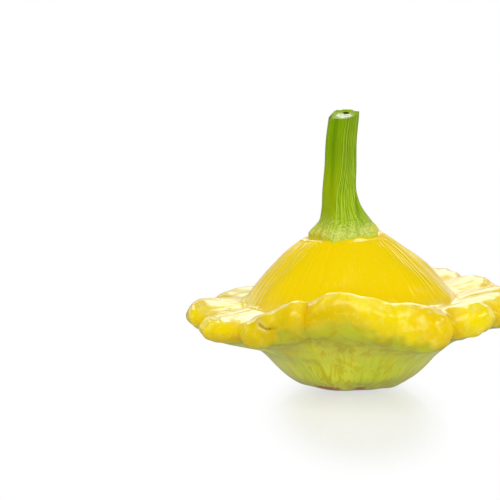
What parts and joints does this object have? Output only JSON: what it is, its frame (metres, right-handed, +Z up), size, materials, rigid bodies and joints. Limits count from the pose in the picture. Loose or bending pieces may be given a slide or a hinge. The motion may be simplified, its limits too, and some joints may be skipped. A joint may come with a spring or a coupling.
{
  "type": "pattypan squash",
  "caption": "Ripe yellow pattypan squash with a domed top, a scalloped brim, a greenish bowl below and its cut green stem, standing on its blossom end.",
  "frame": {"origin": "middle of the flat blossom end that the fruit stands on, on the axis of the fruit", "axes": "+Z up along the fruit's axis towards the stem, -Y towards the front of the fruit, +X towards its right"},
  "size_m": [0.1162, 0.1129, 0.0969],
  "materials": {
    "rind": "waxy yellow skin, turning lime green on the bowl",
    "stem": "dull green skin with fine ribs"
  },
  "bodies": {
    "root": {"fruit": "rind", "stem": "stem"}
  },
  "joints": []
}
